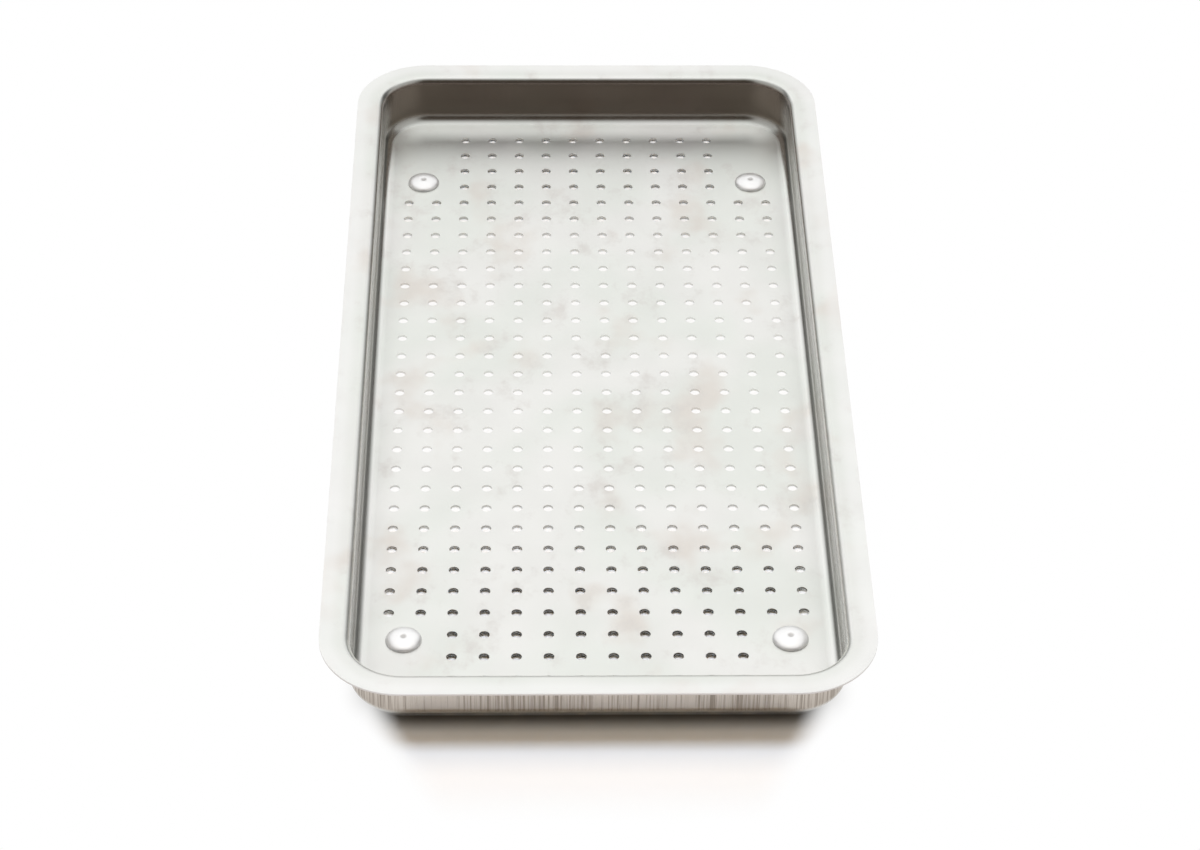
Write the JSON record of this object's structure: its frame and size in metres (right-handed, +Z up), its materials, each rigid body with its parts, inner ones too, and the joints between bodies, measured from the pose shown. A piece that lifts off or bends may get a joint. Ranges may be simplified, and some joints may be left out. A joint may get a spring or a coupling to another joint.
{
  "type": "instrument tray",
  "caption": "Shallow perforated stainless-steel instrument tray with rounded corners, an outward flange all round and riveted stand-off feet.",
  "frame": {"origin": "centre of the footprint, on the plane that the four feet stand on", "axes": "+X across the tray, +Y along its length towards the back end, away from the end that the hole field lies nearer to, +Z up"},
  "size_m": [0.161, 0.322, 0.022],
  "materials": {
    "stainless_sheet": "satin",
    "stainless_rivet": "polished",
    "stainless_foot": "satin"
  },
  "bodies": {
    "root": {"tray_pan": "stainless_sheet", "rivet_front_left": "stainless_rivet", "rivet_front_right": "stainless_rivet", "rivet_back_left": "stainless_rivet", "rivet_back_right": "stainless_rivet", "foot_front_left": "stainless_foot", "foot_front_right": "stainless_foot", "foot_back_left": "stainless_foot", "foot_back_right": "stainless_foot"}
  },
  "joints": []
}
